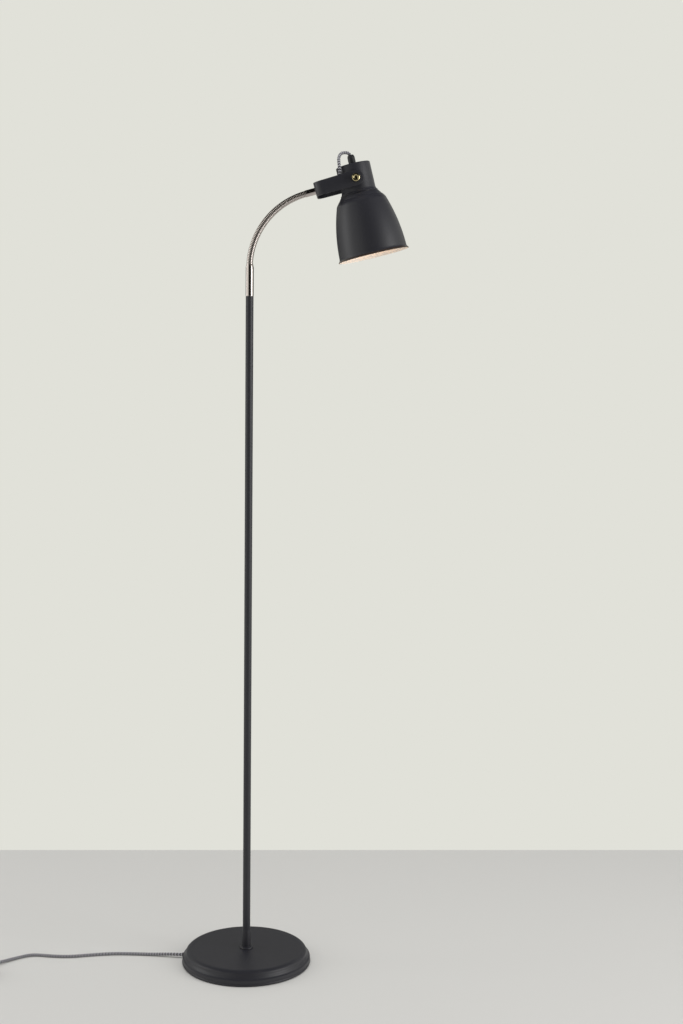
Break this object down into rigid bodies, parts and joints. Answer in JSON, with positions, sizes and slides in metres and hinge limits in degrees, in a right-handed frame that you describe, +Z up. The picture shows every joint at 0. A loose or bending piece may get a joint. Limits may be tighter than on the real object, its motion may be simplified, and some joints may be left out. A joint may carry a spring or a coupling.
{
  "type": "gooseneck reading floor lamp",
  "caption": "Floor lamp with a round weighted base, straight pole, short bending neck, tilting bell shade in a U-shaped strap, and a corded foot switch.",
  "frame": {"origin": "centre of the floor pad, on the floor", "axes": "+Z up along the pole, +X towards the side the neck bends to"},
  "size_m": [0.9, 0.2855, 1.5004],
  "materials": {
    "black_coat": "fine textured powder coat",
    "shade_coat": "fine textured powder coat outside, warm white inside",
    "cast_weight": "rough cast",
    "floor_felt": "felt",
    "zinc_steel": "zinc plated",
    "polished_nickel": "polished",
    "grip_plastic": "matte",
    "cord_fabric": "woven sleeve",
    "screw_brass": "knurled, satin",
    "fibre_washer": "fibre",
    "holder_plastic": "semi gloss",
    "contact_brass": "bare",
    "holder_ceramic": "ceramic white",
    "bulb_glass": "frosted",
    "bulb_cap": "rolled thread",
    "tie_plastic": "matte",
    "switch_plastic": "semi gloss",
    "plug_plastic": "matte",
    "plug_metal": "nickel plated"
  },
  "bodies": {
    "stand": {"base_cover": "black_coat", "base_weight": "cast_weight", "base_pad": "floor_felt", "base_stud": "zinc_steel", "base_nut": "zinc_steel", "base_washer": "zinc_steel", "foot_collar": "black_coat", "foot_sleeve": "black_coat", "cord_grommet": "grip_plastic", "inner_cord": "cord_fabric", "pole_lower": "black_coat", "pole_middle": "black_coat", "pole_upper": "black_coat", "pole_bushes": "zinc_steel", "pole_studs": "zinc_steel", "lower_ferrule": "polished_nickel", "hose_00": "polished_nickel", "neck_cord": "cord_fabric", "cord_run_a": "cord_fabric", "cord_run_b": "cord_fabric", "cord_coil": "cord_fabric", "coil_tie": "tie_plastic", "switch_base": "switch_plastic", "switch_cover": "switch_plastic", "plug_body": "plug_plastic", "plug_pins": "plug_metal"},
    "neck_1": {"hose_01": "polished_nickel"},
    "neck_2": {"hose_02": "polished_nickel"},
    "neck_3": {"hose_03": "polished_nickel"},
    "neck_4": {"hose_04": "polished_nickel"},
    "neck_5": {"hose_05": "polished_nickel"},
    "neck_6": {"hose_06": "polished_nickel"},
    "neck_7": {"hose_07": "polished_nickel"},
    "neck_8": {"hose_08": "polished_nickel"},
    "neck_9": {"hose_09": "polished_nickel"},
    "arm": {"hose_10": "polished_nickel", "upper_ferrule": "polished_nickel", "bracket": "black_coat", "neck_bolt": "zinc_steel", "neck_nut": "zinc_steel", "cord_bush": "grip_plastic", "pivot_washers": "fibre_washer"},
    "head": {"head_cap": "black_coat", "shade": "shade_coat", "cord_grip": "grip_plastic", "grip_nipple": "zinc_steel", "nipple_nut": "zinc_steel", "holder_cord": "cord_fabric", "holder_dome": "holder_plastic", "holder_skirt": "holder_plastic", "holder_shell": "contact_brass", "holder_contact": "holder_ceramic", "bulb_globe": "bulb_glass", "bulb_base": "bulb_cap", "pivot_nuts": "zinc_steel", "head_cord": "cord_fabric"},
    "screw_near": {"thumb_screw_near": "screw_brass"},
    "screw_far": {"thumb_screw_far": "screw_brass"},
    "foot_button": {"switch_button": "switch_plastic"}
  },
  "joints": [
    {"name": "neck_bend_1", "type": "hinge", "parent": "stand", "child": "neck_1", "pos_m": [0.00038, 0, 1.30854], "axis": [0, 1, 0], "range_deg": [-14, 12], "deforming": ["neck_cord"]},
    {"name": "neck_side_1", "type": "hinge", "parent": "neck_1", "child": "neck_2", "pos_m": [0.0033, 0, 1.32534], "axis": [0.9713, 0, -0.2377], "range_deg": [-10, 10]},
    {"name": "neck_bend_2", "type": "hinge", "parent": "neck_2", "child": "neck_3", "pos_m": [0.00837, 0, 1.34163], "axis": [0, 1, 0], "range_deg": [-14, 12]},
    {"name": "neck_side_2", "type": "hinge", "parent": "neck_3", "child": "neck_4", "pos_m": [0.01542, 0, 1.35717], "axis": [0.8836, 0, -0.4683], "range_deg": [-10, 10]},
    {"name": "neck_bend_3", "type": "hinge", "parent": "neck_4", "child": "neck_5", "pos_m": [0.02432, 0, 1.37172], "axis": [0, 1, 0], "range_deg": [-14, 12]},
    {"name": "neck_side_3", "type": "hinge", "parent": "neck_5", "child": "neck_6", "pos_m": [0.03496, 0, 1.38507], "axis": [0.742, 0, -0.6705], "range_deg": [-10, 10]},
    {"name": "neck_bend_4", "type": "hinge", "parent": "neck_6", "child": "neck_7", "pos_m": [0.04716, 0, 1.39699], "axis": [0, 1, 0], "range_deg": [-14, 12]},
    {"name": "neck_side_4", "type": "hinge", "parent": "neck_7", "child": "neck_8", "pos_m": [0.06074, 0, 1.40732], "axis": [0.5551, 0, -0.8318], "range_deg": [-10, 10]},
    {"name": "neck_bend_5", "type": "hinge", "parent": "neck_8", "child": "neck_9", "pos_m": [0.07549, 0, 1.4159], "axis": [0, 1, 0], "range_deg": [-14, 12]},
    {"name": "neck_side_5", "type": "hinge", "parent": "neck_9", "child": "arm", "pos_m": [0.09118, 0, 1.42259], "axis": [0.3345, 0, -0.9424], "range_deg": [-10, 10]},
    {"name": "head_tilt", "type": "hinge", "parent": "arm", "child": "head", "pos_m": [0.18919, 0, 1.45097], "axis": [0, -1, 0], "range_deg": [-30, 90], "deforming": ["head_cord"]},
    {"name": "thumb_screw_near_turn", "type": "hinge", "parent": "head", "child": "screw_near", "pos_m": [0.18919, -0.0342, 1.45097], "axis": [0, -1, 0], "range_deg": [0, 270]},
    {"name": "thumb_screw_far_turn", "type": "hinge", "parent": "head", "child": "screw_far", "pos_m": [0.18919, 0.0342, 1.45097], "axis": [0, 1, 0], "range_deg": [0, 270]},
    {"name": "switch_press", "type": "slide", "parent": "stand", "child": "foot_button", "axis": [0, 0, 1], "range_m": [-0.003, 0], "stiffness_N_per_m": 1000}
  ]
}
